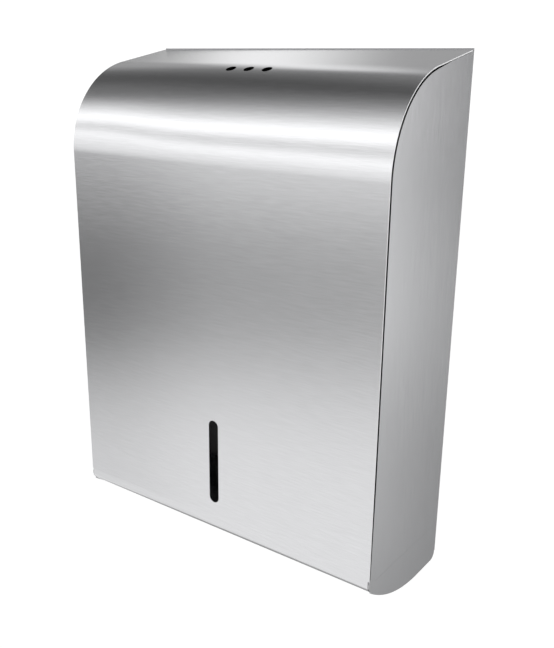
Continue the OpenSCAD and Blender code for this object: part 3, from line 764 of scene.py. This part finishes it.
def makeFloor():
    level = floorSettings
    half = level["half"]
    low = level["low"]
    mesh = bpy.data.meshes.new("floor")
    corners = [(-half, -half, low), (half, -half, low), (half, half, low), (-half, half, low)]
    mesh.from_pydata(corners, [], [(0, 1, 2, 3)])
    made = bpy.data.objects.new("floor", mesh)
    scene.collection.objects.link(made)
    floorPaint, pen = newMaterial("floorPaint")
    place = pen.node("ShaderNodeTexCoord", out=3)
    right, back, up = pen.node("ShaderNodeSeparateXYZ", {}, {0: place}, out=None)
    heading = headingOf(pen, right - level["headingFrom"][0], back - level["headingFrom"][1])
    reach = pen.maths("SQRT", right * right + back * back)

    # Behind the object, painted light and shade in the floor's glow: darker near it, with a dim and a bright part
    toRight = softStep(right, *level["rightEdge"])
    near = (1.0 - softStep(reach, *level["nearRange"])) * toRight
    close = (1.0 - softStep(reach, *level["closeRange"])) * toRight
    dim = dimShare(heading) * (level["dim"] + softStep(reach, *level["dimRange"]) * (1.0 - level["dim"]))
    lit = 1.0 - dim + brightShare(heading) * level["bright"]
    behindShare = lit * (1.0 - near * level["nearDim"]) * (1.0 - close * level["closeDim"])

    # Ahead of it: a painted pool of light in the floor's glow, less bright to the left
    ahead = 1.0 - softStep(back, *level["aheadEdge"])
    paintedPool = 1.0 - softStep(reach, *level["aheadRange"])
    left = leftShare(pen, right, back)
    aheadShare = level["aheadLevel"] + paintedPool * level["aheadPool"] - left * level["leftDim"]

    # Painted shadow under the object, to the left: the glow is dimmed there
    sideways = (right - level["paintedShadowAt"][0]) / level["paintedShadowSize"][0]
    deep = (back - level["paintedShadowAt"][1]) / level["paintedShadowSize"][1]
    paintedShadow = 1.0 - softStep(pen.maths("SQRT", sideways * sideways + deep * deep), *level["paintedShadowEdge"])
    share = (behindShare * (1.0 - ahead) + aheadShare * ahead) * (1.0 - paintedShadow * level["paintedShadowDim"])
    # The floor glows though it is no lamp, carrying the painted light and shade above; the grey paint under the
    # glow keeps the real shadow
    paintedGlow = pen.node("ShaderNodeEmission", {}, {"Color": share * level["paintedGlow"], "Strength": 1.0})
    grey = level["paint"]
    paint = pen.node("ShaderNodeBsdfDiffuse", {}, {"Color": (grey, grey, grey, 1)})
    both = pen.node("ShaderNodeAddShader", {}, {0: paintedGlow, 1: paint})
    clear = pen.node("ShaderNodeBsdfTransparent")
    fade = ahead * softStep(reach, *level["fadeRange"])
    faded = pen.node("ShaderNodeMixShader", {}, {0: fade, 1: both, 2: clear})
    pen.node("ShaderNodeOutputMaterial", {}, {"Surface": faded})
    mesh.materials.append(floorPaint)
    return made


makeFloor()

# Light over the front by its angle above the horizon, in degrees
frontLevels = [
    (-20, 0.5), (-14, 0.5), (-11, 0.64), (-7.5, 1.0), (-3, 1.06), (4, 1.17), (8, 1.42), (13, 1.5), (17, 1.15),
    (22, 0.82), (26, 0.86), (31, 1.4), (39, 1.75), (45, 1.36), (50, 1.1), (56, 0.86), (62, 0.63), (69, 0.42),
    (76, 0.275), (83, 0.19), (90, 0.135), (98, 0.1), (106, 0.1), (114, 0.14), (125, 0.22), (140, 0.24),
]

# Light from each direction: over is such an angle, patch edges are headings, other edges are shares
studioSettings = {
    "brightest": 2.0,
    "bandLean": 56,
    "bandMiddle": -0.56,
    "bandOver": (78.0, 102.0),
    "leftLean": 8.5,
    "leftEdge": (0.70, 0.84),
    "leftOverStart": (-2.0, 12.0),
    "leftOverEnd": (64.0, 84.0),
    "lowLeftOver": (-12.0, -2.0),
    "lowLeftDim": 0.32,
    "wall": 1.1,
    "wallDim": 0.3,
    "wallBright": 1.9,
    "wallUpper": 0.42,
    "wallUpperEdge": (0.1, 0.2),
    "wallTop": (1.035, 1.085),
    "wallTilt": 0.82,
    "patchStart": (-48.0, -40.0),
    "patchEnd": (-40.0, -27.5),
    "behindEdge": (-0.05, 0.1),
    "sideLevel": 1.03,
    "sideRight": (0.78, 0.95),
    "sideLeft": (0.88, 0.99),
}


# Bands of light over the front, as a ramp that leans towards both ends of the bend
def frontLight(pen, right, back, over):
    level = studioSettings
    lean = (level["bandMiddle"] - right) * softStep(over, *level["bandOver"]) * level["bandLean"]
    farLeft = softStep(-right, *level["leftEdge"])
    farLeft = farLeft * between(over, level["leftOverStart"], level["leftOverEnd"])
    lean = lean + farLeft * level["leftLean"]
    lowest = frontLevels[0][0]
    span = frontLevels[-1][0] - lowest
    stops = []
    for angle, strength in frontLevels:
        tone = strength / level["brightest"]
        stops.append(((angle - lowest) / span, (tone, tone, tone, 1)))
    ramp = pen.node("ShaderNodeValToRGB", {"stops": stops}, {0: (over - lean - lowest) * (1 / span)})
    lowLeft = leftShare(pen, right, back) * (1.0 - softStep(over, *level["lowLeftOver"]))
    return ramp * level["brightest"] * (1.0 - lowLeft * level["lowLeftDim"])


# White wall behind, with a dim and a bright part, a darker upper part and a patch in it
def wallLight(pen, heading, up):
    level = studioSettings
    patch = between(heading, level["patchStart"], level["patchEnd"])
    upper = level["wallUpper"] + patch * (level["wall"] - level["wallUpper"])
    wall = level["wall"] + dimShare(heading) * (level["wallDim"] - level["wall"])
    wall = wall + brightShare(heading) * (level["wallBright"] - level["wall"])
    return wall + softStep(up, *level["wallUpperEdge"]) * (upper - wall)


def makeStudio():
    level = studioSettings
    world = bpy.data.worlds.new("studio")
    scene.world = world
    world.use_nodes = True
    world.node_tree.nodes.clear()
    pen = Wire(world.node_tree)
    way = pen.node("ShaderNodeTexCoord", out=0)
    right, back, up = pen.node("ShaderNodeSeparateXYZ", {}, {0: way}, out=None)
    over = headingOf(pen, up, -back)
    front = frontLight(pen, right, back, over)
    wall = wallLight(pen, headingOf(pen, right, back), up)
    wallShare = 1.0 - softStep(up - right * level["wallTilt"], *level["wallTop"])
    rear = wallShare * wall + (1.0 - wallShare) * front
    behind = softStep(back, *level["behindEdge"])
    strength = behind * rear + (1.0 - behind) * front
    aside = softStep(right, *level["sideRight"]) + softStep(-right, *level["sideLeft"])
    strength = strength + aside * (level["sideLevel"] - strength)
    background = pen.node("ShaderNodeBackground", {}, {"Color": strength, "Strength": 1.0})
    pen.node("ShaderNodeOutputWorld", {}, {"Surface": background})


makeStudio()
print("studio ready")

scene.view_settings.view_transform = "Standard"
